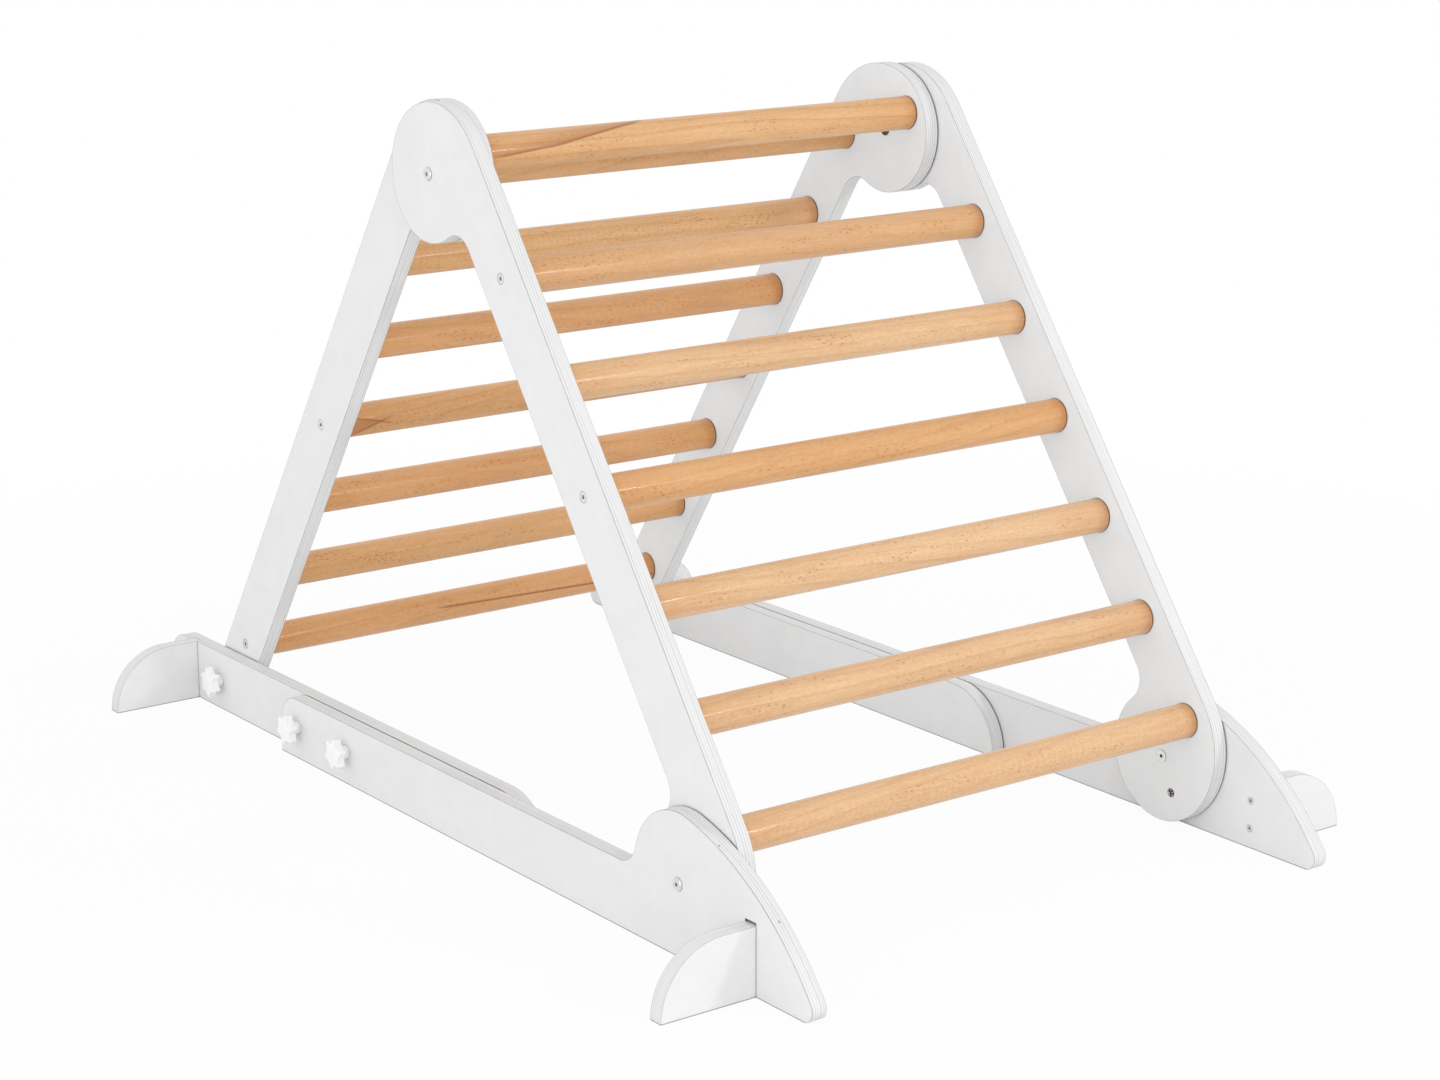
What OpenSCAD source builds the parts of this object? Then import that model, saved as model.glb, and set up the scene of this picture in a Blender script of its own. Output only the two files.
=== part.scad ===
// Folding climbing triangle: two rung ladders hinged at the top, standing on a pair of
// two-piece base rails with outrigger feet. Millimetres, +Z up, X along the rungs,
// -Y towards the front ladder. The origin is on the floor, under the middle of the part.

/* [Panels] */
// Thickness of every plywood panel
ply_t = 18; // [15:0.5:21]
// Gap between neighbouring panels, filled by washers at the joints
layer_gap = 1.5; // [1:0.1:2.5]
// Clear width between the inner faces of the rear legs
rear_clear_w = 612; // [500:4:700]
// Width of the leg strips, and height of the rails
strip_w = 76; // [70:1:82]

/* [Triangle] */
// Height of the top hinge above the floor
apex_h = 754.5; // [680:0.5:800]
// Lean of the front ladder from the floor, in degrees
front_angle = 54; // [50:0.5:58]
// Lean of the rear ladder from the floor, in degrees
rear_angle = 56.5; // [52:0.5:60]
// Height of the pivot at the foot of each front leg
pivot_h = 80; // [79:1:90]

/* [Leg heads] */
// Radius of the round head about each hinge and pivot
head_r = 77; // [68:1:79]
// Distance from the hinge centre to the middle of the leg strip
strip_offset = 59; // [54:0.5:62]
// Radius of the shoulder that runs from the head into the outer edge
shoulder_r = 100; // [94:1:120]
// Radius of the hollow between the head and the inner edge
crotch_r = 30; // [20:1:40]

/* [Rungs] */
// Diameter of the rungs
rung_d = 40; // [32:1:42]
// Distance from the hinge to the first front rung, along the leg
front_first = 162; // [150:1:165]
// Distance from the last front rung to the pivot, along the leg
front_last = 21.5; // [14:0.5:60]
// Distance from the hinge to the first rear rung, along the leg
rear_first = 53; // [46:0.5:56]
// Distance from the last rear rung to the lower bolt, along the leg
rear_last = 65; // [45:0.5:90]
// Distance of the top rung in front of the hinge
top_rung_y = 39.5; // [36:0.5:46]
// Height of the top rung above the hinge
top_rung_z = 24; // [16:1:28]
// Depth of the blind sockets that hold the rungs
socket_depth = 10; // [8:0.5:12]

/* [Rails] */
// Length of the front rail from its pivot to its rear end
front_rail_len = 838; // [780:1:860]
// Length over which the two rail halves lie side by side
rail_overlap = 547; // [480:1:580]
// Length of the rear rail behind the rear leg's bolt
rail_tail = 133; // [118:1:150]
// Radius of the lobe about the pivot
lobe_r = 78; // [77:0.5:79]
// Radius of the long curve from the lobe down to the nose
nose_r = 343; // [320:1:400]
// Lean of the lobe's highest point towards the nose, in degrees
nose_lean = 12.5; // [10:0.5:16]
// Radius of the tip of the nose
tip_r = 14; // [10:1:18]
// Radius of the hollow behind the lobe
lobe_fillet_r = 30; // [15:1:36]
// Radius of the rear rail's lower rear corner
heel_r = 14; // [4:1:20]

/* [Feet] */
// How far each foot stands out from its rail
foot_reach = 117; // [100:1:140]
// Height of the feet, and radius of their outer curve
foot_h = 76; // [66:1:76]
// Depth of the groove that holds each foot
groove_depth = 6; // [4:0.5:8]
// Height of the front groove above the foot
groove_spare = 3; // [2:1:8]
// Distance from the pivot forward to the front foot's front face
front_foot_at = 132.5; // [126:0.5:140]
// Distance from the rear leg's bolt back to the rear foot's front face
rear_foot_at = 60; // [54:1:66]
// Height of the lower foot screw
foot_screw_low = 23; // [18:1:28]
// Height of the upper foot screw
foot_screw_high = 56; // [48:1:60]

/* [Knobs] */
// Diameter of the star knobs over the lobes
knob_d = 39; // [28:1:42]
// Number of lobes
knob_lobes = 6; // [5:1:8]
// Radius of each lobe
knob_lobe_r = 3.2; // [2.5:0.1:4.5]
// Radius of each hollow between the lobes
knob_hollow_r = 8.5; // [7:0.5:14]
// Turn of the overlap knobs, in degrees
knob_turn = 12; // [0:1:60]
// Turn of the rear legs' knobs, in degrees
leg_knob_turn = 54; // [0:1:60]
// Thickness of the star
knob_h = 10; // [7:0.5:12]
// Radius of the star's domed face
knob_dome_r = 90; // [60:1:150]
// Height of the neck under the star
neck_h = 10; // [7:0.5:12]
// Diameter of the neck
neck_d = 16; // [13:0.5:18]
// Diameter of the threaded studs
stud_d = 6; // [5:0.5:8]
// Depth of the stud in the knob
stud_seat = 13; // [8:0.5:15]
// Distance from the front rail's rear end to the nearer knob
knob_inset = 40.5; // [38:0.5:50]
// Distance between the two knobs of the overlap
knob_spacing = 118; // [90:2:160]
// Height of the overlap knobs
knob_z = 40; // [36:1:42]
// Length of the threaded inserts
insert_len = 12; // [10:0.5:13]
// Outer diameter of the threaded inserts
insert_d = 10; // [9:0.5:12]

/* [Bolts and screws] */
// Outer diameter of the hinge sleeves
sleeve_d = 10; // [9:0.5:12]
// Diameter of the bolts inside the sleeves
bolt_d = 6; // [5:0.5:7]
// Diameter of the bolt heads and sleeve flanges
bolt_head_d = 15; // [13:0.5:18]
// Thickness of the bolt heads
bolt_head_h = 2.2; // [1.6:0.1:3]
// Thickness of the sleeve flanges, thinner than the gap between panels
flange_h = 0.8; // [0.5:0.1:0.8]
// Outer diameter of the hinge washers
washer_d = 24; // [20:1:30]
// Diameter of the rung screws
rung_screw_d = 6; // [5:0.5:7]
// Diameter of the rung screw heads
rung_screw_head = 13; // [11:0.5:14]
// Length of the rung screws
rung_screw_len = 55; // [45:1:65]
// Diameter of the foot screws
foot_screw_d = 4.5; // [4:0.5:5]
// Diameter of the foot screw heads
foot_screw_head = 9; // [8:0.5:10]
// Length of the foot screws
foot_screw_len = 48; // [40:1:60]
// Diameter of the stop screw in each front leg's lower head
stop_screw_d = 5; // [4:0.5:6]
// Diameter of the stop screw's head
stop_screw_head = 11; // [10:0.5:12]
// Length of the stop screw
stop_screw_len = 15; // [12:0.5:16]
// Distance of the stop screw below the pivot, along the leg
stop_s = 42.5; // [34:0.5:50]
// Distance of the stop screw from the line through the pivot
stop_q = -10; // [-20:1:10]
// Width of the hexagon sockets, corner to corner
hex_d = 4.6; // [4:0.1:5]
// Depth of the hexagon sockets
hex_depth = 1.6; // [1:0.1:2]
// How far the screw heads lie below the panels
head_sink = 0.2; // [0.1:0.1:0.5]

/* [Fits] */
// Radial clearance of sleeves that turn in their bores
turn_fit = 0.05; // [0.02:0.01:0.09]
// Radial clearance of rungs, screws and inserts in their holes
hole_fit = 0.05; // [0.02:0.01:0.2]
// Clearance between washers and the panels beside them
washer_fit = 0.1; // [0.05:0.05:0.2]
// Side clearance of a foot in its groove
groove_fit = 0.1; // [0.05:0.05:0.3]
// Gap between the end of a sleeve and its bolt's head
sleeve_gap = 0.5; // [0.2:0.1:1]
// Gap between a stud's end and what lies beyond it
stud_end_gap = 0.3; // [0.2:0.1:0.6]

/* [Hidden] */

// Each rung has its own node, so the numbers of rungs are fixed
front_rungs = 6;
rear_rungs = 7;

left = -1;
right = 1;
sides = [left, right];
eps = 1;
// Curves that run into one another cross by this much
blend = 0.05;
// The shoulder's sector runs on this far past its highest point
lap = 10;
$fn = 96;

// Colours
paint = [0.93, 0.93, 0.92];
beech = [0.85, 0.62, 0.38];
steel = [0.72, 0.72, 0.72];
bronze = [0.45, 0.36, 0.24];
plastic = [0.97, 0.97, 0.97];

// Panel layers from the middle outwards: rear leg, front leg with rear rail, front rail
rear_leg_x = rear_clear_w/2;
mid_x = rear_leg_x + ply_t + layer_gap;
outer_x = mid_x + ply_t + layer_gap;

// Leg strip edges, measured outwards from the line through the hinge
strip_in = strip_offset - strip_w/2;
strip_out = strip_offset + strip_w/2;

// Shoulder circle: joins the head to the strip's outer edge
shoulder_q = strip_out + blend - shoulder_r;
shoulder_s = sqrt(pow(shoulder_r - head_r + blend, 2) - pow(shoulder_q, 2));
// Crotch circle: joins the head to the strip's inner edge
crotch_q = strip_in - crotch_r + blend;
crotch_s = sqrt(pow(head_r + crotch_r - blend, 2) - pow(crotch_q, 2));

// Places along the legs
pivot_s = (apex_h - pivot_h)/sin(front_angle);
rear_bolt_z = strip_w/2;
rear_bolt_s = (apex_h - rear_bolt_z + strip_offset*cos(rear_angle))/sin(rear_angle);
front_pitch = (pivot_s - front_first - front_last)/(front_rungs - 1);
rear_pitch = (rear_bolt_s - rear_first - rear_last)/(rear_rungs - 1);
// Nose of the front rail, measured from the pivot
nose_y = (nose_r - lobe_r)*sin(nose_lean);
nose_z = pivot_h - (nose_r - lobe_r)*cos(nose_lean);
tip_run = sqrt(pow(nose_r - tip_r, 2) - pow(tip_r - nose_z, 2));
tip_y = nose_y - tip_run;

// Reach from the apex to both ends, and the shift that centres the part on the origin
front_reach = pivot_s*cos(front_angle) - tip_y + tip_r;
rear_bolt_run = rear_bolt_s*cos(rear_angle) + strip_offset*sin(rear_angle);
rear_reach = rear_bolt_run + rail_tail;
apex_y = (front_reach - rear_reach)/2;
pivot_y = apex_y - pivot_s*cos(front_angle);
rear_bolt_y = apex_y + rear_bolt_run;

// Rails along Y
rail_h = strip_w;
corner_r = rail_h/2;
front_rail_end = pivot_y + front_rail_len;
rear_rail_tip = front_rail_end - rail_overlap;
rear_rail_end = rear_bolt_y + rail_tail;
front_foot_y = pivot_y - front_foot_at;
rear_foot_y = rear_bolt_y + rear_foot_at;
knob_rear_y = front_rail_end - knob_inset;
knob_front_y = knob_rear_y - knob_spacing;

// Rungs that are also held by a screw from outside
front_screwed = [1, 3];
rear_screwed = [4, 7];

// Point on the front ladder: s down the leg from the hinge, q outwards. Returns [y, z].
function front_at(s, q) = [
    apex_y - s*cos(front_angle) - q*sin(front_angle),
    apex_h - s*sin(front_angle) + q*cos(front_angle)
];
// The same on the rear ladder
function rear_at(s, q) = [
    apex_y + s*cos(rear_angle) + q*sin(rear_angle),
    apex_h - s*sin(rear_angle) + q*cos(rear_angle)
];
function front_rung_at(i) = front_at(front_first + (i - 1)*front_pitch, strip_offset);
function rear_rung_at(i) = rear_at(rear_first + (i - 1)*rear_pitch, strip_offset);
top_rung_at = [apex_y - top_rung_y, apex_h + top_rung_z];
stop_at = front_at(pivot_s + stop_s, stop_q);

// ---- helpers ----

// Draws its children, made for the right-hand side, on either side
module on(side) {
    mirror([side < 0 ? 1 : 0, 0, 0]) children();
}

// A flat profile in Y and Z, made into a panel whose inner face is at x
module panel(x, t = ply_t) {
    translate([x, 0, 0]) rotate([90, 0, 90]) linear_extrude(t) children();
}

// A round bar along X from x0 to x1 at the point [y, z]
module bar(at, x0, x1, d) {
    translate([x0, at[0], at[1]]) rotate([0, 90, 0]) cylinder(d = d, h = x1 - x0);
}

// A flat countersunk screw along X: the head's face at x, the shank towards dir
module flat_screw(at, x, dir, d, head, len, play = 0) {
    cone_h = (head - d)/2;
    translate([x, at[0], at[1]]) rotate([0, dir*90, 0]) {
        cylinder(d1 = head + 2*play, d2 = d + 2*play, h = cone_h);
        cylinder(d = d + 2*play, h = len);
    }
}

// The hexagon socket in a screw or bolt head
module hex_socket(at, x, dir) {
    translate([x, at[0], at[1]]) rotate([0, dir*90, 0])
        translate([0, 0, -eps]) cylinder(d = hex_d, h = hex_depth + eps, $fn = 6);
}

// ---- flat profiles ----

// Round head at the local origin, with its shoulder; the leg runs to +x
module head_2d() {
    centre = [shoulder_s, shoulder_q];
    far = shoulder_r + head_r;
    circle(r = head_r);
    intersection() {
        translate(centre) circle(r = shoulder_r);
        polygon([
            centre, centre - far*centre/norm(centre), centre + [-far, far],
            centre + [lap, far], centre + [lap, 0]
        ]);
    }
}

// Front leg: a head at the hinge, a mirrored head at the pivot, a strip between
module front_leg_2d() {
    translate([apex_y, apex_h]) mirror([1, 0]) rotate(-front_angle) {
        difference() {
            polygon([
                [0, 0], [crotch_s, crotch_q], [crotch_s, strip_in],
                [pivot_s - crotch_s, strip_in], [pivot_s - crotch_s, crotch_q], [pivot_s, 0],
                [pivot_s - shoulder_s, strip_out], [shoulder_s, strip_out]
            ]);
            for (s = [crotch_s, pivot_s - crotch_s])
                translate([s, crotch_q]) circle(r = crotch_r);
        }
        head_2d();
        translate([pivot_s, 0]) mirror([1, 0]) head_2d();
    }
}

// Rear leg: a head at the hinge and a round end about the lower bolt
module rear_leg_2d() {
    translate([apex_y, apex_h]) rotate(-rear_angle) {
        difference() {
            polygon([
                [0, 0], [crotch_s, crotch_q], [crotch_s, strip_in],
                [rear_bolt_s, strip_in], [rear_bolt_s, strip_out], [shoulder_s, strip_out]
            ]);
            translate([crotch_s, crotch_q]) circle(r = crotch_r);
        }
        head_2d();
        translate([rear_bolt_s, strip_offset]) circle(d = strip_w);
    }
}

// A straight rail from y0 to y1 whose upper rear corner is round
module rail_strip_2d(y0, y1) {
    translate([y0, 0]) square([y1 - corner_r - y0, rail_h]);
    translate([y1 - corner_r, rail_h - corner_r]) circle(r = corner_r);
}

// Front rail: nose, lobe about the pivot, hollow and straight strip to the rear
module front_rail_2d() {
    pivot = [pivot_y, pivot_h];
    nose = [pivot_y + nose_y, nose_z];
    tip = [pivot_y + tip_y, tip_r];
    tip_dir = (tip - nose)/norm(tip - nose);
    lean_dir = [-sin(nose_lean), cos(nose_lean)];
    foot_of_lean = [pivot_y + pivot_h*tan(nose_lean), 0];
    hollow_z = rail_h + lobe_fillet_r - blend;
    hollow_run = sqrt(pow(lobe_r + lobe_fillet_r - blend, 2) - pow(hollow_z - pivot_h, 2));
    hollow = [pivot_y + hollow_run, hollow_z];
    // straight strip and hollow
    difference() {
        polygon([
            [pivot_y, 0], [front_rail_end - corner_r, 0], [front_rail_end - corner_r, rail_h],
            [hollow[0], rail_h], hollow, pivot
        ]);
        translate(hollow) circle(r = lobe_fillet_r);
    }
    // rear end with a square heel
    translate([front_rail_end - corner_r, rail_h - corner_r]) circle(r = corner_r);
    translate([front_rail_end - corner_r - eps, 0]) square([corner_r + eps, rail_h - corner_r]);
    // lobe, cut level with the floor
    intersection() {
        translate(pivot) circle(r = lobe_r);
        translate([pivot_y - lobe_r, 0]) square([2*lobe_r, pivot_h + lobe_r]);
    }
    // long curve of the nose
    intersection() {
        translate(nose) circle(r = nose_r);
        polygon([
            foot_of_lean, [tip[0], 0], tip, tip + 3*tip_r*tip_dir,
            [tip[0] - 2*tip_r, pivot_h + lobe_r], pivot + 1.3*lobe_r*lean_dir
        ]);
    }
    translate(tip) circle(r = tip_r);
}

// Rear rail: quarter-round front end, straight strip, rounded heel
module rear_rail_2d() {
    intersection() {
        translate([rear_rail_tip + rail_h, 0]) circle(r = rail_h);
        translate([rear_rail_tip, 0]) square([rail_h + eps, rail_h]);
    }
    rail_strip_2d(rear_rail_tip + rail_h, rear_rail_end);
    translate([rear_rail_end - corner_r - eps, heel_r])
        square([corner_r + eps, rail_h - corner_r - heel_r]);
    translate([rear_rail_end - corner_r - eps, 0])
        square([corner_r + eps - heel_r, rail_h - corner_r]);
    translate([rear_rail_end - heel_r, heel_r]) circle(r = heel_r);
}

// Foot seen along the rail: a quarter round with a flat top, x from the groove's bottom
module foot_2d() {
    flat_len = groove_depth + foot_reach - foot_h;
    square([flat_len, foot_h]);
    intersection() {
        translate([flat_len, 0]) circle(r = foot_h);
        translate([flat_len - eps, 0]) square([foot_h + eps, foot_h]);
    }
}

// Star of a knob: lobes and hollows that run into each other smoothly
module star_2d() {
    half = 180/knob_lobes;
    lobe_c = knob_d/2 - knob_lobe_r;
    reach = knob_lobe_r + knob_hollow_r - blend;
    hollow_c = lobe_c*cos(half) + sqrt(pow(reach, 2) - pow(lobe_c*sin(half), 2));
    difference() {
        union() {
            polygon([
                for (i = [0 : 2*knob_lobes - 1])
                    (i % 2 == 0 ? lobe_c : hollow_c)*[cos(i*half), sin(i*half)]
            ]);
            for (i = [0 : knob_lobes - 1])
                rotate(2*i*half) translate([lobe_c, 0]) circle(r = knob_lobe_r);
        }
        for (i = [0 : knob_lobes - 1])
            rotate((2*i + 1)*half) translate([hollow_c, 0]) circle(r = knob_hollow_r);
    }
}

// ---- ladders ----

module front_leg(side) {
    color(paint) on(side) difference() {
        panel(mid_x) front_leg_2d();
        for (i = [1 : front_rungs])
            bar(front_rung_at(i), mid_x - eps, mid_x + socket_depth, rung_d + 2*hole_fit);
        bar([apex_y, apex_h], mid_x - eps, mid_x + ply_t + eps, sleeve_d + 2*hole_fit);
        bar([pivot_y, pivot_h], mid_x - eps, mid_x + ply_t + eps, sleeve_d + 2*hole_fit);
        for (i = front_screwed)
            flat_screw(front_rung_at(i), mid_x + ply_t, -1, rung_screw_d, rung_screw_head,
                ply_t, hole_fit);
        flat_screw(stop_at, mid_x, 1, stop_screw_d, stop_screw_head,
            stop_screw_len + hole_fit, hole_fit);
    }
}

module rear_leg(side) {
    color(paint) on(side) difference() {
        panel(rear_leg_x) rear_leg_2d();
        bar(top_rung_at, rear_leg_x - eps, rear_leg_x + socket_depth, rung_d + 2*hole_fit);
        for (i = [1 : rear_rungs])
            bar(rear_rung_at(i), rear_leg_x - eps, rear_leg_x + socket_depth,
                rung_d + 2*hole_fit);
        bar([apex_y, apex_h], rear_leg_x - eps, rear_leg_x + ply_t + eps,
            sleeve_d + 2*turn_fit);
        for (i = rear_screwed)
            flat_screw(rear_rung_at(i), rear_leg_x + ply_t, -1, rung_screw_d,
                rung_screw_head, ply_t, hole_fit);
        bar([rear_bolt_y, rear_bolt_z], rear_leg_x + ply_t - insert_len,
            rear_leg_x + ply_t + eps, insert_d + 2*hole_fit);
    }
}

// A rung between two sockets; held by screws at both ends where screwed is true
module rung(at, inner_x, screwed) {
    half_len = inner_x + socket_depth;
    color(beech) difference() {
        bar(at, -half_len, half_len, rung_d);
        if (screwed)
            for (side = sides)
                on(side) bar(at, inner_x + ply_t - rung_screw_len - hole_fit,
                    half_len + eps, rung_screw_d + 2*hole_fit);
    }
}

module front_rung(i) {
    rung(front_rung_at(i), mid_x, len(search(i, front_screwed)) > 0);
}

module rear_rung(i) {
    rung(rear_rung_at(i), rear_leg_x, len(search(i, rear_screwed)) > 0);
}

module top_rung() {
    rung(top_rung_at, rear_leg_x, false);
}

// Screws through a leg into the ends of rungs
module rung_screws(places, outer_face) {
    face = outer_face - head_sink;
    color(steel) for (side = sides, at = places)
        on(side) difference() {
            flat_screw(at, face, -1, rung_screw_d, rung_screw_head - 2*head_sink,
                rung_screw_len - head_sink);
            hex_socket(at, face, -1);
        }
}

module front_rung_screws() {
    rung_screws([for (i = front_screwed) front_rung_at(i)], mid_x + ply_t);
}

module rear_rung_screws() {
    rung_screws([for (i = rear_screwed) rear_rung_at(i)], rear_leg_x + ply_t);
}

// Short screw in the lower head of each front leg, flush with its inner face
module stop_screws() {
    face = mid_x + head_sink;
    color(bronze) for (side = sides)
        on(side) difference() {
            flat_screw(stop_at, face, 1, stop_screw_d, stop_screw_head - 2*head_sink,
                stop_screw_len - head_sink);
            hex_socket(stop_at, face, 1);
        }
}

// ---- hinges ----

// Bolt from outside: domed head on the face at x, shank inwards
module bolt(at, x, len) {
    color(steel) difference() {
        union() {
            translate([x, at[0], at[1]]) rotate([0, 90, 0]) rotate_extrude()
                polygon([
                    [0, 0], [bolt_head_d/2, 0], [bolt_head_d/2, bolt_head_h*0.5],
                    [bolt_head_d/2 - bolt_head_h*0.5, bolt_head_h], [0, bolt_head_h]
                ]);
            bar(at, x - len, x + eps/2, bolt_d);
        }
        hex_socket(at, x + bolt_head_h, -1);
    }
}

// Flanged sleeve from inside: flange against the face at x0, sleeve as far as x1
module sleeve(at, x0, x1, tint) {
    color(tint) difference() {
        union() {
            bar(at, x0 - flange_h, x0, bolt_head_d);
            bar(at, x0 - flange_h/2, x1, sleeve_d);
        }
        bar(at, x0 + flange_h, x1 + eps, bolt_d + 2*hole_fit);
        hex_socket(at, x0 - flange_h, 1);
    }
}

// Washer in the gap between two panels, the inner one's outer face at x
module washer(at, x, hole_d, d = washer_d) {
    color(plastic) translate([x + washer_fit, at[0], at[1]]) rotate([0, 90, 0])
        rotate_extrude() translate([hole_d/2 + hole_fit, 0])
            square([(d - hole_d)/2 - hole_fit, layer_gap - 2*washer_fit]);
}

shank_len = ply_t + layer_gap + ply_t*0.6;

module hinge_bolts() {
    for (side = sides)
        on(side) bolt([apex_y, apex_h], mid_x + ply_t, shank_len);
}

module hinge_sleeves() {
    for (side = sides)
        on(side) sleeve([apex_y, apex_h], rear_leg_x, mid_x + ply_t - sleeve_gap, bronze);
}

module hinge_washers() {
    for (side = sides)
        on(side) washer([apex_y, apex_h], rear_leg_x + ply_t, sleeve_d);
}

module pivot_bolts() {
    for (side = sides)
        on(side) bolt([pivot_y, pivot_h], outer_x + ply_t, shank_len);
}

module pivot_sleeves() {
    for (side = sides)
        on(side) sleeve([pivot_y, pivot_h], mid_x, outer_x + ply_t - sleeve_gap, steel);
}

module pivot_washers() {
    for (side = sides)
        on(side) washer([pivot_y, pivot_h], mid_x + ply_t, sleeve_d);
}

// ---- base rails ----

// Groove for a foot in the outer face of a rail
module groove(outer_face, foot_y, top) {
    translate([outer_face - groove_depth, foot_y - groove_fit, -eps])
        cube([groove_depth + eps, ply_t + 2*groove_fit, top + eps]);
}

module foot_screw_holes(inner_face, foot_y) {
    for (z = [foot_screw_low, foot_screw_high])
        flat_screw([foot_y + ply_t/2, z], inner_face, 1, foot_screw_d, foot_screw_head,
            ply_t + eps, hole_fit);
}

module front_rail(side) {
    color(paint) on(side) difference() {
        panel(outer_x) front_rail_2d();
        bar([pivot_y, pivot_h], outer_x - eps, outer_x + ply_t + eps, sleeve_d + 2*turn_fit);
        for (y = [knob_front_y, knob_rear_y])
            bar([y, knob_z], outer_x - eps, outer_x + ply_t + eps, stud_d + 2*hole_fit);
        groove(outer_x + ply_t, front_foot_y, foot_h + groove_spare);
        foot_screw_holes(outer_x, front_foot_y);
    }
}

module rear_rail(side) {
    color(paint) on(side) difference() {
        panel(mid_x) rear_rail_2d();
        for (y = [knob_front_y, knob_rear_y])
            bar([y, knob_z], mid_x + ply_t - insert_len - eps, mid_x + ply_t + eps,
                insert_d + 2*hole_fit);
        bar([rear_bolt_y, rear_bolt_z], mid_x - eps, mid_x + ply_t + eps,
            stud_d + 2*hole_fit);
        groove(mid_x + ply_t, rear_foot_y, rail_h + eps);
        foot_screw_holes(mid_x, rear_foot_y);
    }
}

module foot(side, outer_face, foot_y, inner_face) {
    color(paint) on(side) difference() {
        translate([outer_face - groove_depth, foot_y + ply_t, 0]) rotate([90, 0, 0])
            linear_extrude(ply_t) foot_2d();
        for (z = [foot_screw_low, foot_screw_high])
            bar([foot_y + ply_t/2, z], outer_face - groove_depth - eps,
                inner_face + foot_screw_len + hole_fit, foot_screw_d + 2*hole_fit);
    }
}

module front_foot(side) {
    foot(side, outer_x + ply_t, front_foot_y, outer_x);
}

module rear_foot(side) {
    foot(side, mid_x + ply_t, rear_foot_y, mid_x);
}

module foot_screws(side) {
    color(steel) on(side)
        for (place = [[outer_x, front_foot_y], [mid_x, rear_foot_y]],
             z = [foot_screw_low, foot_screw_high]) {
            at = [place[1] + ply_t/2, z];
            face = place[0] + head_sink;
            difference() {
                flat_screw(at, face, 1, foot_screw_d, foot_screw_head - 2*head_sink,
                    foot_screw_len - head_sink);
                hex_socket(at, face, 1);
            }
        }
}

// Threaded insert: a plain ring with its mouth in the face at x
module insert(at, x) {
    color(bronze) translate([x - insert_len, at[0], at[1]]) rotate([0, 90, 0])
        rotate_extrude() translate([stud_d/2 + hole_fit, 0])
            square([(insert_d - stud_d)/2 - hole_fit, insert_len]);
}

module rail_inserts(side) {
    on(side) for (y = [knob_front_y, knob_rear_y])
        insert([y, knob_z], mid_x + ply_t);
}

module rear_leg_inserts() {
    for (side = sides)
        on(side) insert([rear_bolt_y, rear_bolt_z], rear_leg_x + ply_t);
}

module rail_spacers(side) {
    on(side) for (y = [knob_front_y, knob_rear_y])
        washer([y, knob_z], mid_x + ply_t, stud_d);
}

// ---- star knobs ----

// Knob 1 and 2 clamp the overlap, knob 3 holds the rear leg
function knob_at(i) = i == 1 ? [knob_front_y, knob_z]
    : i == 2 ? [knob_rear_y, knob_z] : [rear_bolt_y, rear_bolt_z];
function knob_face(i) = i == 3 ? mid_x + ply_t : outer_x + ply_t;
// Studs 1 and 2 reach into the rail inserts; stud 3 ends inside the rail
function stud_depth(i) = i == 3 ? ply_t - stud_end_gap
    : ply_t + layer_gap + insert_len - stud_end_gap;

module knob(side, i) {
    color(plastic) on(side) translate([knob_face(i), knob_at(i)[0], knob_at(i)[1]])
        rotate([0, 90, 0]) difference() {
            union() {
                cylinder(d = neck_d, h = neck_h + eps);
                intersection() {
                    translate([0, 0, neck_h]) linear_extrude(knob_h)
                        rotate(i == 3 ? leg_knob_turn : knob_turn) star_2d();
                    translate([0, 0, neck_h + knob_h - knob_dome_r]) sphere(r = knob_dome_r);
                }
            }
            translate([0, 0, -eps])
                cylinder(d = stud_d + 2*hole_fit, h = stud_seat + eps);
        }
}

module stud(side, i) {
    color(steel) on(side) bar(knob_at(i), knob_face(i) - stud_depth(i),
        knob_face(i) + stud_seat, stud_d);
}

front_leg(left);  // front_leg_left
front_leg(right);  // front_leg_right
rear_leg(left);  // rear_leg_left
rear_leg(right);  // rear_leg_right
front_rung(1);  // front_rung_1
front_rung(2);  // front_rung_2
front_rung(3);  // front_rung_3
front_rung(4);  // front_rung_4
front_rung(5);  // front_rung_5
front_rung(6);  // front_rung_6
top_rung();
rear_rung(1);  // rear_rung_1
rear_rung(2);  // rear_rung_2
rear_rung(3);  // rear_rung_3
rear_rung(4);  // rear_rung_4
rear_rung(5);  // rear_rung_5
rear_rung(6);  // rear_rung_6
rear_rung(7);  // rear_rung_7
front_rail(left);  // front_rail_left
front_rail(right);  // front_rail_right
rear_rail(left);  // rear_rail_left
rear_rail(right);  // rear_rail_right
front_foot(left);  // front_foot_left
front_foot(right);  // front_foot_right
rear_foot(left);  // rear_foot_left
rear_foot(right);  // rear_foot_right
hinge_bolts();
hinge_sleeves();
hinge_washers();
pivot_bolts();
pivot_sleeves();
pivot_washers();
stop_screws();
front_rung_screws();
rear_rung_screws();
rear_leg_inserts();
foot_screws(left);  // foot_screws_left
foot_screws(right);  // foot_screws_right
rail_inserts(left);  // rail_inserts_left
rail_inserts(right);  // rail_inserts_right
rail_spacers(left);  // rail_spacers_left
rail_spacers(right);  // rail_spacers_right
knob(left, 1);  // knob_left_1
knob(left, 2);  // knob_left_2
knob(left, 3);  // knob_left_3
knob(right, 1);  // knob_right_1
knob(right, 2);  // knob_right_2
knob(right, 3);  // knob_right_3
stud(left, 1);  // stud_left_1
stud(left, 2);  // stud_left_2
stud(left, 3);  // stud_left_3
stud(right, 1);  // stud_right_1
stud(right, 2);  // stud_right_2
stud(right, 3);  // stud_right_3
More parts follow.
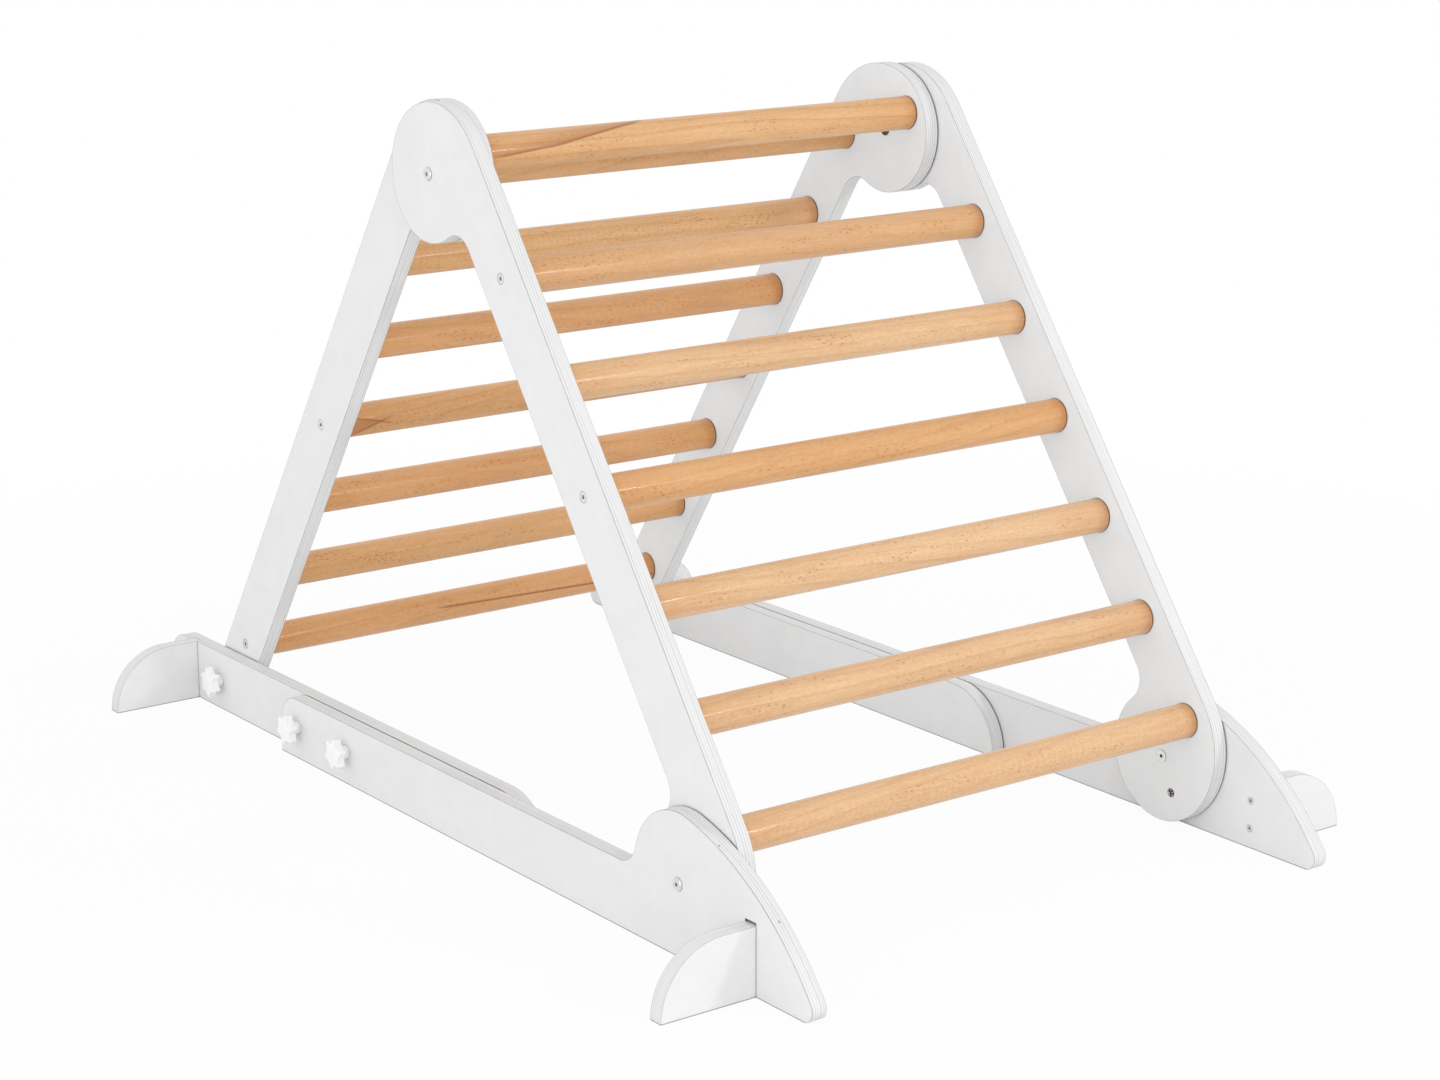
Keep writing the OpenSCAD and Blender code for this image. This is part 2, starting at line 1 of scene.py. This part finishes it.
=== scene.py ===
"""Looks of the folding climbing triangle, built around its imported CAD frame. Metres, +Z up."""

import math

import bpy
from mathutils import Matrix, Vector


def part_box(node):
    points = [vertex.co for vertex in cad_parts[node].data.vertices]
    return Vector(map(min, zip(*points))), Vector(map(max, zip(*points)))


SIDES = ("left", "right")


# ---- camera ----

CAMERA_AT = Vector((-2.1268, -2.9187, 1.2349))
CAMERA_AZIMUTH = math.radians(-36.615)
CAMERA_DOWN = math.radians(14.675)
CAMERA_ROLL = math.radians(-0.03)
CAMERA_LENS = 78.17
SENSOR_WIDTH = 36


def make_camera():
    """The photograph's viewpoint: a long lens from the front left, a little above the top rung."""
    forward = Vector((
        -math.sin(CAMERA_AZIMUTH) * math.cos(CAMERA_DOWN),
        math.cos(CAMERA_AZIMUTH) * math.cos(CAMERA_DOWN),
        -math.sin(CAMERA_DOWN),
    ))
    right = Vector((math.cos(CAMERA_AZIMUTH), math.sin(CAMERA_AZIMUTH), 0))
    up = right.cross(forward)
    turn = Matrix((right, up, -forward)).transposed().to_4x4()
    data = bpy.data.cameras.new("camera")
    data.lens = CAMERA_LENS
    data.sensor_width = SENSOR_WIDTH
    camera = bpy.data.objects.new("camera", data)
    camera.matrix_world = Matrix.Translation(CAMERA_AT) @ turn @ Matrix.Rotation(CAMERA_ROLL, 4, "Z")
    bpy.context.scene.collection.objects.link(camera)
    bpy.context.scene.camera = camera


# ---- node helpers ----

CREVICE_REACH = 0.003
CREVICE_OPEN = (0.30, 0.80)  # how open a point is, from a full crevice to none


class Nodes:
    """An emptied node tree with short calls for adding and wiring nodes."""

    def __init__(self, tree):
        self.tree = tree
        tree.nodes.clear()

    def link(self, source, target):
        self.tree.links.new(source, target)

    def put(self, socket, value):
        """Wires value to the socket, or sets it there. None leaves the socket alone."""
        if isinstance(value, bpy.types.NodeSocket):
            self.link(value, socket)
        elif value is not None:
            socket.default_value = value

    def put_all(self, made, inputs):
        """Puts values on the node's inputs, named with _ for each space."""
        for name, value in inputs.items():
            self.put(made.inputs[name.replace("_", " ")], value)

    def node(self, kind, settings=None, **inputs):
        """A new node. settings are its own properties, inputs are values or sockets for its inputs."""
        made = self.tree.nodes.new("ShaderNode" + kind)
        for name, value in (settings or {}).items():
            setattr(made, name, value)
        self.put_all(made, inputs)
        return made

    def operate(self, kind, operation, values):
        made = self.node(kind, {"operation": operation})
        for socket, value in zip(made.inputs, values):
            self.put(socket, value)
        return made.outputs

    def math(self, operation, *values):
        return self.operate("Math", operation, values)[0]

    def vector(self, operation, *values):
        """The vector that a vector operation gives."""
        return self.operate("VectorMath", operation, values)["Vector"]

    def measure(self, operation, *values):
        """The number that a vector operation gives, such as a length or a dot product."""
        return self.operate("VectorMath", operation, values)["Value"]

    def product(self, first, *others):
        for other in others:
            first = self.math("MULTIPLY", first, other)
        return first

    def weigh(self, base, *parts):
        """base plus each part times its weight."""
        for part, weight in parts:
            base = self.math("MULTIPLY_ADD", part, weight, base)
        return base

    def split(self, vector):
        return self.node("SeparateXYZ", Vector=vector).outputs

    def join(self, x, y, z):
        return self.node("CombineXYZ", X=x, Y=y, Z=z).outputs[0]

    def ramp(self, value, low, high, to_low=0.0, to_high=1.0):
        """value moved from the range low..high to the range to_low..to_high, and kept in it."""
        made = self.node("MapRange", From_Min=low, From_Max=high, To_Min=to_low, To_Max=to_high)
        self.put(made.inputs["Value"], value)
        return made.outputs[0]

    def blend(self, share, first, second):
        """The shader of the node first, with share of the node second mixed in."""
        made = self.node("MixShader", Fac=share)
        self.link(first.outputs[0], made.inputs[1])
        self.link(second.outputs[0], made.inputs[2])
        return made.outputs[0]

    def seen_directly(self):
        """1 for camera, glossy and transmission rays: those that look at the background."""
        path = self.node("LightPath").outputs
        seen = self.math("MAXIMUM", path["Is Camera Ray"], path["Is Glossy Ray"])
        return self.math("MAXIMUM", seen, path["Is Transmission Ray"])


class Shader(Nodes):
    """A new material with one surface."""

    def __init__(self, name):
        self.material = bpy.data.materials.new(name)
        self.material.use_nodes = True
        super().__init__(self.material.node_tree)
        self.output = self.node("OutputMaterial")
        self.surface = self.node("BsdfPrincipled")
        self.link(self.surface.outputs[0], self.output.inputs[0])

    def made(self, **inputs):
        """The material, with these inputs on its surface."""
        self.put_all(self.surface, inputs)
        return self.material

    def place(self):
        """Where the point lies in the part's frame, in metres."""
        return self.node("TexCoord").outputs["Object"]

    def true_normal(self):
        return self.node("NewGeometry").outputs["True Normal"]

    def stretch(self, vector, scale):
        """The vector scaled axis by axis. A small number draws a texture out along its axis."""
        return self.node("Mapping", Vector=vector, Scale=scale).outputs[0]

    def noise(self, vector, scale, detail=2.0, roughness=0.5, distortion=0.0):
        made = self.node("TexNoise", Vector=vector, Scale=scale, Detail=detail,
                         Roughness=roughness, Distortion=distortion)
        return made.outputs["Fac"]

    def mix(self, share, a, b, blend="MIX"):
        made = self.node("Mix", {"data_type": "RGBA", "blend_type": blend})
        self.put(made.inputs[0], share)
        self.put(made.inputs[6], a)
        self.put(made.inputs[7], b)
        return made.outputs[2]

    def tint(self, base, *coats):
        """base with each coat, a share and a colour, laid over it in turn."""
        for share, shade in coats:
            base = self.mix(share, base, shade)
        return base

    def bump(self, height, strength, distance, normal=None):
        return self.node("Bump", Height=height, Strength=strength, Distance=distance,
                         Normal=normal).outputs[0]

    def eased(self, radius, samples=6):
        """The normal that the mesh would have with its edges rounded to this radius."""
        return self.node("Bevel", {"samples": samples}, Radius=radius).outputs[0]

    def rim(self, radius, sharp, flat, most=1.0):
        """most on an edge of the mesh and 0 away from it.

        sharp and flat are cosines of the turn that rounding the edge gives the normal.
        """
        turn = self.measure("DOT_PRODUCT", self.eased(radius), self.true_normal())
        return self.ramp(turn, sharp, flat, most, 0.0)

    def crevice(self, most):
        """How much painted shade sits where the surface meets another: 0 in the open, most in a gap."""
        made = self.node("AmbientOcclusion", {"samples": 8}, Distance=CREVICE_REACH)
        return self.ramp(made.outputs["AO"], *CREVICE_OPEN, most, 0.0)


def grey(value):
    """A neutral colour from a displayed brightness between 0 and 1."""
    linear = value / 12.92 if value <= 0.04045 else ((value + 0.055) / 1.055) ** 2.4
    return (linear, linear, linear, 1)


def colour(red, green, blue):
    """A colour from displayed 0-255 values."""
    return tuple(grey(v / 255)[0] for v in (red, green, blue)) + (1,)


WHITE = (1, 1, 1, 1)
GAP_SHADE = colour(96, 94, 92)


# ---- painted plywood ----

PLY_PITCH = 0.0195  # from one layer of panels to the next
PLY_FIRST = 0.306  # |x| of the innermost layer's inner face
VENEER = 0.0036  # from one glue line to the next
VENEER_LINE = VENEER * 0.17
VENEER_WANDER = 0.0008
VENEER_PATCHES = (5, 5, 5)  # how many strong and lost places come in a metre
VENEER_SHIFT = 260.0  # sets how far those places differ from line to line
VENEER_FAINT = 0.04
VENEER_STRONG = 0.22
FACING = (0.6, 0.75)  # share of the normal that parts the edges from the broad faces
EASED_EDGE = 0.0020
RIM_TURN = (0.78, 0.97)
# share of the painted shade along the eased rims
RIM_SHADE = (0.50, 0.85)
SOLE = 0.0012  # height of the strip of painted contact shade at the floor
SOLE_SHADE = 0.75
# how dark the painted shade goes in the panels' gaps
PANEL_CREVICE_SHADE = 0.70
FACE_TONE = 0.915  # share of the paint's brightness where all the noises are 0
EDGE_TONE = 0.885
PAINT = colour(236, 236, 236)
# colour of the painted shade along the rims and at the floor
PAINTED_EDGE_SHADE = colour(138, 137, 135)
BARE_CORE = colour(148, 96, 66)
VOID_SHADE = colour(120, 106, 96)
VOID_SQUEEZE = 1.8
VOID_RADII = (0.0010, 0.0022)
VOID_DARK = 0.75


def across_x(s, at, normal):
    """Depth in a panel that lies in a plane of constant X, and how far the point faces X."""
    depth = s.math("MODULO", s.math("SUBTRACT", s.math("ABSOLUTE", at["X"]), PLY_FIRST), PLY_PITCH)
    return depth, s.ramp(s.math("ABSOLUTE", normal["X"]), *FACING)


def across_y(front_face):
    """The same for a foot, whose front face is at front_face."""
    def measure(s, at, normal):
        return s.math("SUBTRACT", at["Y"], front_face), s.ramp(s.math("ABSOLUTE", normal["Y"]), *FACING)
    return measure


def veneer_lines(s, point, depth, wear_and_shade):
    """The lines of the veneers through the paint on an edge, some strong and some lost."""
    wander = s.weigh(depth, (s.noise(point, scale=35), VENEER_WANDER))
    line = s.ramp(s.math("PINGPONG", wander, VENEER / 2), 0.0, VENEER_LINE, 1, 0)
    shift = s.join(s.math("MULTIPLY", depth, VENEER_SHIFT), 0.0, 0.0)
    shifted = s.vector("MULTIPLY_ADD", point, VENEER_PATCHES, shift)
    patch = s.ramp(s.noise(shifted, scale=1.0), 0.38, 0.62)
    return s.product(line, s.weigh(VENEER_FAINT * wear_and_shade, (patch, VENEER_STRONG * wear_and_shade)))


def core_void(s, at, centre):
    """How dark a small open gap in the core makes the point. It is narrow across the panel."""
    x, y, z = centre
    squeezed = s.join(s.math("MULTIPLY", at["X"], VOID_SQUEEZE), at["Y"], at["Z"])
    away = s.measure("DISTANCE", squeezed, (x * VOID_SQUEEZE, y, z))
    return s.ramp(away, *VOID_RADII, VOID_DARK, 0.0)


def inside_box(s, at, low, high):
    """1 inside the box with these corners, in which x stands for |x|."""
    inside = 1.0
    for value, least, most in zip((s.math("ABSOLUTE", at["X"]), at["Y"], at["Z"]), low, high):
        inside = s.product(inside, s.math("GREATER_THAN", value, least), s.math("LESS_THAN", value, most))
    return inside


def painted_plywood(name, grain_angle, across, wear_and_shade=1.0, bare=None, voids=()):
    """White painted plywood. grain_angle is the panel's slope; across gives the depth in its edge.

    The wear setting scales the veneer lines and the dark line of painted shade along the rims. bare is a
    box, low and high corners with |x|, inside which the wood is left unpainted. voids are the centres of
    small open gaps in the core.
    """
    s = Shader(name)
    point = s.place()
    at = s.split(point)
    depth, facing = across(s, at, s.split(s.true_normal()))
    # broad faces are sanded along the grain under the paint, which dries in soft clouds
    along = s.node("VectorRotate", {"rotation_type": "X_AXIS"}, Vector=point, Angle=grain_angle)
    fibre = s.stretch(along.outputs[0], (1, 0.07, 1))
    fine = s.noise(fibre, scale=420, detail=3, roughness=0.65)
    broad = s.noise(fibre, scale=26, detail=3, roughness=0.6)
    cloud = s.noise(point, scale=22, detail=4, roughness=0.62, distortion=0.6)
    face_tone = s.weigh(FACE_TONE, (broad, 0.030), (fine, 0.030), (cloud, 0.105))
    edge_line = veneer_lines(s, point, depth, wear_and_shade)
    edge_tone = s.weigh(EDGE_TONE, (broad, 0.06), (cloud, 0.06), (edge_line, -1.0))
    tone = s.mix(facing, s.join(edge_tone, edge_tone, edge_tone), s.join(face_tone, face_tone, face_tone))
    # painted shade: a dark line along the eased edges, and a dark strip of painted contact shade at the
    # very bottom
    rim_shade = s.ramp(s.noise(point, scale=60, detail=3), 0.3, 0.7, *(share * wear_and_shade for share in RIM_SHADE))
    base = s.tint(
        s.mix(1.0, PAINT, tone, "MULTIPLY"),
        (s.product(s.rim(EASED_EDGE, *RIM_TURN), rim_shade), PAINTED_EDGE_SHADE),
        (s.ramp(at["Z"], SOLE / 2, SOLE, SOLE_SHADE, 0.0), PAINTED_EDGE_SHADE),
        *((core_void(s, at, centre), VOID_SHADE) for centre in voids),
        # painted shade in the gaps and where the parts meet
        (s.crevice(PANEL_CREVICE_SHADE), GAP_SHADE),
    )
    if bare:
        base = s.mix(inside_box(s, at, *bare), base, BARE_CORE)
    return s.made(
        Base_Color=base,
        Roughness=s.ramp(fine, 0.2, 0.8, 0.46, 0.60),
        Specular_IOR_Level=0.25,
        Normal=s.bump(s.weigh(0.0, (fine, 0.6), (edge_line, -2.0)), 0.15, 0.0004),
    )


# ---- beech ----

LATE_WOOD = colour(160, 98, 54)
HEART_BROWN = colour(174, 114, 70)
RAY_BROWN = colour(166, 106, 60)
FIBRE_BROWN = colour(196, 136, 84)
BOW_BROWN = colour(196, 138, 84)
SPECK_DARK = colour(198, 142, 88)
SPECK_LIGHT = colour(246, 212, 170)
# painted shade towards the legs and the painted shadow line at each socket
END_SHADE_FAR = colour(206, 138, 72)
END_SHADE_NEAR = colour(184, 112, 48)
SOCKET_SHADOW_LINE = colour(84, 52, 30)
SOCKET_WIDTH = 0.0018
BOUNCE = grey(0.92)
SEED_STEP = (0.37, 0.11, 0.07)
SEED_TURN = 2.4
ACROSS = (0, 0.310, 0.951)  # up across a rung as seen from the front
RING_PITCH = 0.013
RING_DRIFT = 0.02
HEART_AWAY = 0.11
HEART_TILT = 0.09
BOW_PITCH = 0.0085
BOW_BEND = 36.0
BOW_WANDER = 0.010

# Darker heartwood on some rungs. Each line runs from (x, t) to (x, t) in metres, where t goes up across
# the rung as seen from the front, and the last number says where the wood is dark: 1 above the line, -1
# below it, 0 only on it. The number before the lines is the distance over which that dark fades.
HEARTWOOD = {
    "top_rung": (0.020, (((-0.282, -0.0088), (-0.210, -0.0021), 1),
                         ((-0.210, -0.0021), (-0.100, 0.0160), 1))),
    "rear_rung_4": (0.030, (((-0.306, 0.0040), (-0.252, -0.0075), -1),
                            ((-0.290, -0.0183), (-0.252, -0.0075), 1))),
    "rear_rung_7": (0.010, (((-0.032, -0.0022), (0.300, -0.0105), 0),)),
}
HEART_LINE = (0.0006, 0.0020)  # half widths of the line itself and of its soft border
HEART_END = 0.02  # length over which a line ends
HEART_LINE_SHARE = 0.85
HEART_SHARE = 0.80
HEART_REST = 0.35  # what is left of the dark once it has faded


def heartwood(s, tone, x, t, fade, lines):
    """Darkens the wood beside the given lines, and along each of them."""
    heart = 1.0
    for (x0, t0), (x1, t1), side in lines:
        slope = (t1 - t0) / (x1 - x0)
        off = s.math("SUBTRACT", t, s.math("MULTIPLY_ADD", x, slope, t0 - slope * x0))
        ends = s.product(s.ramp(x, x0 - HEART_END, x0), s.ramp(x, x1, x1 + HEART_END, 1, 0))
        line = s.product(s.ramp(s.math("ABSOLUTE", off), *HEART_LINE, 1, 0), ends)
        tone = s.mix(s.product(line, HEART_LINE_SHARE), tone, LATE_WOOD)
        beside = s.product(off, float(side))
        begins = s.ramp(beside, 0.0, HEART_LINE[0])
        heart = s.product(heart, begins, s.ramp(beside, 0.0, fade, 1.0, HEART_REST))
    return s.mix(s.product(heart, HEART_SHARE), tone, HEART_BROWN)


def late_wood(s, x, wood, lazy, seed):
    """The dark side of growth rings about a distant, slightly tilted heart."""
    turn = SEED_TURN * seed
    heart_y = s.math("MULTIPLY_ADD", x, HEART_TILT * math.sin(turn), HEART_AWAY * math.cos(turn))
    heart_z = s.math("MULTIPLY_ADD", x, HEART_TILT * math.cos(1.7 * turn), HEART_AWAY * math.sin(turn))
    at = s.split(wood)
    reach = s.join(0.0, s.math("SUBTRACT", at["Y"], heart_y), s.math("SUBTRACT", at["Z"], heart_z))
    ring = s.weigh(s.measure("LENGTH", reach), (s.noise(lazy, scale=30), RING_DRIFT))
    ring = s.math("FRACT", s.math("DIVIDE", ring, RING_PITCH))
    strength = s.ramp(s.noise(lazy, scale=9), 0.35, 0.65, 0.2, 1.0)
    return s.product(s.math("POWER", ring, 5.0), s.ramp(ring, 1.0, 0.96), strength)


def bowed_figure(s, x, t, wood, lazy):
    """The faint curved figure where the rings run out of the surface, from -1 to 1."""
    bow = s.weigh(x, (s.product(t, t), BOW_BEND), (s.noise(wood, scale=55), BOW_WANDER))
    bow = s.math("SINE", s.product(bow, 2 * math.pi / BOW_PITCH))
    return s.product(bow, s.ramp(s.noise(lazy, scale=7, detail=1), 0.42, 0.60))


def ray_flecks(s, ray_space, lazy):
    """The short dark dashes of beech, in clumps."""
    rays = s.node("TexVoronoi", {"feature": "F1", "voronoi_dimensions": "3D"},
                  Vector=ray_space, Scale=310.0, Randomness=1.0)
    clump = s.ramp(s.noise(lazy, scale=80), 0.50, 0.62, 0.05, 1.0)
    return s.product(s.ramp(rays.outputs["Distance"], 0.14, 0.34, 1, 0), clump)


def beech(node, seed, light, dark, leg_face, streak=0.35):
    """Varnished beech turned along X. seed shifts the figure, light and dark set its two tones."""
    s = Shader("beech_" + node)
    point = s.place()
    x = s.split(point)["X"]
    low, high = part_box(node)
    middle = (low + high) / 2
    t = s.math("SUBTRACT", s.measure("DOT_PRODUCT", point, ACROSS), middle.dot(Vector(ACROSS)))
    wood = s.vector("ADD", point, tuple(step * seed for step in SEED_STEP))
    lazy = s.stretch(wood, (0.12, 1, 1))
    ray_space = s.stretch(wood, (0.40, 1, 1))
    fibre = s.noise(s.stretch(wood, (0.06, 1, 1)), scale=420, detail=3, roughness=0.7)
    speckle = s.noise(ray_space, scale=420, roughness=0.7)
    band = s.ramp(s.noise(lazy, scale=20, detail=3, roughness=0.6), 0.32, 0.70)
    fleck = ray_flecks(s, ray_space, lazy)
    tone = s.tint(
        s.mix(band, light, dark),
        (s.math("MULTIPLY_ADD", bowed_figure(s, x, t, wood, lazy), 0.07, 0.07), BOW_BROWN),
        (s.ramp(speckle, 0.42, 0.68, 0.0, 0.20), SPECK_DARK),
        (s.ramp(speckle, 0.50, 0.30, 0.0, 0.12), SPECK_LIGHT),
        (s.product(late_wood(s, x, wood, lazy, seed), streak), LATE_WOOD),
        (s.ramp(fibre, 0.40, 0.75, 0.0, 0.30), FIBRE_BROWN),
        (s.product(fleck, 0.62), RAY_BROWN),
    )
    if node in HEARTWOOD:
        tone = heartwood(s, tone, x, t, *HEARTWOOD[node])
    # painted shade: the rungs turn darker and warmer towards the legs, and a dark line of painted shadow
    # marks the mouth of each socket
    from_leg = s.math("SUBTRACT", leg_face, s.math("ABSOLUTE", x))
    # light that has bounced off the rungs keeps its strength and loses its warmth
    bounced = s.node("LightPath").outputs["Is Diffuse Ray"]
    tone = s.tint(
        tone,
        (s.ramp(from_leg, 0.0, 0.110, 0.22, 0.0), END_SHADE_FAR),
        (s.ramp(from_leg, 0.0, 0.020, 0.45, 0.0), END_SHADE_NEAR),
        (s.ramp(from_leg, SOCKET_WIDTH * 0.6, SOCKET_WIDTH, 0.85, 0.0), SOCKET_SHADOW_LINE),
        (s.product(bounced, 0.85), BOUNCE),
    )
    return s.made(
        Base_Color=tone,
        Roughness=s.ramp(fibre, 0.2, 0.8, 0.34, 0.44),
        Specular_IOR_Level=0.25,
        Coat_Weight=0.25,
        Coat_Roughness=0.10,
        Normal=s.bump(s.weigh(0.0, (fleck, -0.5), (fibre, 0.5)), 0.10, 0.0003),
    )


# ---- plastic and metal ----

PLASTIC_BRIGHT = colour(246, 246, 246)
PLASTIC_ROUNDING = 0.0009
PLASTIC_DEPTH = (0.002, 0.002, 0.002)
# dark colour painted along metal rims as painted shade
METAL_RIM_SHADE = colour(96, 96, 96)
METAL_EDGE_WIDTH = 0.0012
METAL_ROUNDING = 0.0004
METAL_TURN = (0.80, 0.98)
# softness of the border of the painted glints
GLINT_SOFTNESS = 0.03


def white_plastic(name, tone, roughness):
    """Moulded plastic, slightly uneven in tone and gloss."""
    s = Shader(name)
    point = s.place()
    mottle = s.noise(point, scale=900)
    bright = s.ramp(s.noise(point, scale=60), 0.3, 0.7, 0.0, 0.5)
    return s.made(
        Base_Color=s.mix(bright, tone, PLASTIC_BRIGHT),
        Roughness=s.ramp(mottle, 0.3, 0.7, roughness, roughness + 0.08),
        Subsurface_Weight=0.05,
        Subsurface_Radius=PLASTIC_DEPTH,
        Normal=s.bump(mottle, 0.04, 0.0002, s.eased(PLASTIC_ROUNDING)),
    )


def metal(name, tone, dark, roughness, edge=METAL_RIM_SHADE, edge_share=0.6, recess_shade=0.55, glints=0.0):
    """Plated steel: brushed a little, with painted shade in its recesses, and the edge colour painted
    along its edges as painted shade.

    The recess setting is how dark that painted shade goes. The glint level is the level of the noise
    below which the edge colour is laid on in spots as painted glints.
    """
    s = Shader(name)
    wear_and_glints = s.noise(s.place(), scale=500, detail=3, roughness=0.6)
    base = s.tint(
        s.mix(s.ramp(wear_and_glints, 0.35, 0.7), tone, dark),
        # painted shade along the rims and in the recesses
        (s.rim(METAL_EDGE_WIDTH, *METAL_TURN, edge_share), edge),
        (s.crevice(recess_shade), GAP_SHADE),
    )
    # painted glints: bright spots laid on where the noise is low
    if glints:
        base = s.mix(s.ramp(wear_and_glints, glints - GLINT_SOFTNESS, glints, 1.0, 0.0), base, edge)
    return s.made(
        Base_Color=base,
        Metallic=1.0,
        Roughness=s.ramp(wear_and_glints, 0.3, 0.7, roughness, roughness + 0.15),
        Normal=s.bump(wear_and_glints, 0.1, 0.0001, s.eased(METAL_ROUNDING, 4)),
    )


# ---- the part ----

FRONT_SLOPE = math.radians(54)
REAR_SLOPE = math.radians(-56.5)
# how strong the veneer lines and the painted shade along the rims are
LEG_WEAR_AND_SHADE = 1.4
RAIL_WEAR_AND_SHADE = 1.5
OUTER_FACE = 0.363
GROOVE_DEPTH = 0.006
GROOVE_ABOVE = 0.006  # how far it goes on above the foot
GROOVE_PLAY = 0.001
FOOT_OVERLAP = 0.0005
PAINT_SKIN = 0.0004  # keeps the bare wood off the rail's painted face
FRONT_LEG_FACE = 0.3255
REAR_LEG_FACE = 0.306
RAIL_VOIDS = ((-0.3602, -0.5395, 0.1408), (-0.3546, -0.6315, 0.0872))  # both in the left front rail


def dress(node, material):
    """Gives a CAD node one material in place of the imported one."""
    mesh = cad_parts[node].data
    mesh.materials.clear()
    mesh.materials.append(material)


def groove_above(foot):
    """The end of a foot's groove above the foot: a box with |x| across."""
    low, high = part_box(foot)
    return ((OUTER_FACE - GROOVE_DEPTH - GROOVE_PLAY, low.y - GROOVE_PLAY, high.z - FOOT_OVERLAP),
            (OUTER_FACE - PAINT_SKIN, high.y + GROOVE_PLAY, high.z + GROOVE_ABOVE))


def dress_panels():
    for side in SIDES:
        for leg, slope in (("front_leg_", FRONT_SLOPE), ("rear_leg_", REAR_SLOPE)):
            dress(leg + side, painted_plywood(leg + "paint_" + side, -slope, across_x, LEG_WEAR_AND_SHADE))
        for end, voids in (("front_", RAIL_VOIDS), ("rear_", ())):
            rail, foot = end + "rail_", end + "foot_"
            dress(rail + side, painted_plywood(rail + "paint_" + side, 0.0, across_x, RAIL_WEAR_AND_SHADE,
                                               groove_above(foot + side), voids))
            front_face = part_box(foot + side)[0].y
            dress(foot + side, painted_plywood(foot + "paint_" + side, 0.0, across_y(front_face)))


def dress_rungs():
    pale = colour(236, 198, 156), colour(226, 184, 138)
    rose = colour(226, 182, 136), colour(212, 164, 116)
    honey = colour(234, 190, 140), colour(223, 173, 118)
    red = colour(229, 179, 126), colour(215, 161, 106)
    deep = colour(230, 176, 124), colour(213, 155, 100)
    for i, tones in enumerate((rose, pale, red, pale, pale, pale), start=1):
        dress(f"front_rung_{i}", beech(f"front_rung_{i}", i, *tones, FRONT_LEG_FACE))
    for i, tones in enumerate((red, honey, deep, red, deep, red, deep), start=1):
        dress(f"rear_rung_{i}", beech(f"rear_rung_{i}", 10 + i, *tones, REAR_LEG_FACE))
    dress("top_rung", beech("top_rung", 31, *honey, REAR_LEG_FACE, streak=0.5))


def dress_hardware():
    knob_white = white_plastic("knob_plastic", WHITE, 0.26)
    washer_white = white_plastic("washer_plastic", colour(225, 225, 224), 0.45)
    zinc = metal("zinc", colour(238, 238, 236), colour(214, 214, 212), 0.30)
    brassed = metal("brassed", colour(132, 112, 82), colour(84, 72, 56), 0.40)
    # black screw whose pale spots are painted glints
    blacked = metal("blacked", colour(46, 40, 40), colour(16, 13, 13), 0.18,
                    edge=colour(236, 226, 226), edge_share=0.0, recess_shade=0.0, glints=0.45)
    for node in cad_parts:
        if node.startswith("knob_"):
            dress(node, knob_white)
        elif node.endswith("washers") or node.startswith("rail_spacers"):
            dress(node, washer_white)
        elif node == "stop_screws":
            dress(node, blacked)
        elif "insert" in node or node == "hinge_sleeves":
            dress(node, brassed)
        elif "screws" in node or node.startswith(("stud_", "pivot_", "hinge_bolts")):
            dress(node, zinc)


# ---- room ----

FLOOR_TONE = grey(0.91)
FLOOR_SIZE = 40
NEAR_WHITE = 0.94
WHITE_FROM = 0.9
WHITE_BY = 1.9
ROOM_LOW = 1.04
ROOM_HIGH = 0.82

# name, place, point it looks at, width and height, watts
LAMPS = (
    ("left", (-4.0, -1.3, 0.9), (0, 0, 0.2), (2.5, 1.6), 19),
    ("front", (-1.3, -3.4, 1.0), (0, 0, 0.2), (1.6, 1.4), 10),
    ("right", (1.5, -3.2, 1.5), (0, -0.2, 0.2), (0.5, 0.25), 17),
)


def make_floor():
    """A white floor that runs into the white background and keeps a faint shadow near the part."""
    s = Shader("floor")
    white = s.ramp(s.measure("LENGTH", s.place()), WHITE_FROM, WHITE_BY, NEAR_WHITE, 1.0)
    glow = s.node("Emission", Color=WHITE, Strength=1.0)
    s.link(s.blend(s.product(white, s.seen_directly()), s.surface, glow), s.output.inputs[0])
    bpy.ops.mesh.primitive_plane_add(size=FLOOR_SIZE)
    floor = bpy.context.object
    floor.name = "floor"
    floor.data.materials.append(s.made(Base_Color=FLOOR_TONE, Roughness=0.9, Specular_IOR_Level=0.0))


def area_light(name, at, towards, size, power):
    data = bpy.data.lights.new(name, "AREA")
    data.shape = "RECTANGLE"
    data.size, data.size_y = size
    data.energy = power
    lamp = bpy.data.objects.new(name, data)
    lamp.location = at
    lamp.rotation_euler = (Vector(towards) - Vector(at)).to_track_quat("-Z", "Y").to_euler()
    bpy.context.scene.collection.objects.link(lamp)


def make_light():
    """A white room, a little dimmer overhead, with soft lamps at the left, the front and the right."""
    world = bpy.data.worlds.new("studio")
    world.use_nodes = True
    w = Nodes(world.node_tree)
    upward = w.split(w.node("TexCoord").outputs["Generated"])["Z"]
    room = w.node("Background", Color=WHITE, Strength=w.ramp(upward, 0, 1, ROOM_LOW, ROOM_HIGH))
    background = w.node("Background", Color=WHITE, Strength=1.0)
    w.link(w.blend(w.seen_directly(), room, background), w.node("OutputWorld").inputs[0])
    bpy.context.scene.world = world
    for lamp in LAMPS:
        area_light(*lamp)


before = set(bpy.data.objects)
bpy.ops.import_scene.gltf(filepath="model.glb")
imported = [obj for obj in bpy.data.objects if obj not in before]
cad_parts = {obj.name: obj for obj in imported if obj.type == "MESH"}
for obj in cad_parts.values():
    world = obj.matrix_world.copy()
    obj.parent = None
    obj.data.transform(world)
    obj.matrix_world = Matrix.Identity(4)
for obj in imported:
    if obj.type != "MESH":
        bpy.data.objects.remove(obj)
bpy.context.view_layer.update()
bpy.context.scene.view_settings.view_transform = "Standard"
make_camera()
dress_panels()
dress_rungs()
dress_hardware()
make_floor()
make_light()
